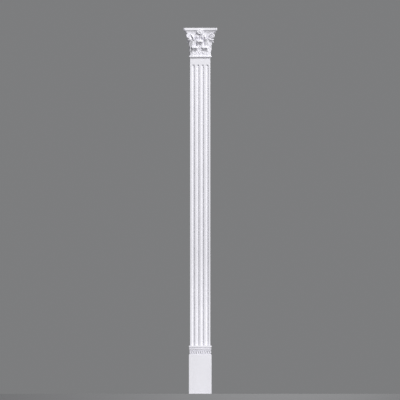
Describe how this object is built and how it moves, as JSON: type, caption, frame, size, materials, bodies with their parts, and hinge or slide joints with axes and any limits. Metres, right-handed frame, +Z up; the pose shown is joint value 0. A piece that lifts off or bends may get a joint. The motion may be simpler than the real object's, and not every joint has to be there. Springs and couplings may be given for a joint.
{
  "type": "pilaster",
  "caption": "Shallow white wall pilaster: carved leaf capital with corner volutes and a rosette, fluted shaft, and a moulded base with a bead row.",
  "frame": {"origin": "middle of the shaft's back face, in the wall plane", "axes": "+Z up, +Y into the wall, front towards -Y, +X to the right seen from the front"},
  "size_m": [0.18, 0.05, 1.9356],
  "materials": {
    "white_foam": "smooth moulded rigid polyurethane foam under a matt white primer"
  },
  "bodies": {
    "root": {"capital": "white_foam", "shaft": "white_foam", "base": "white_foam"}
  },
  "joints": []
}
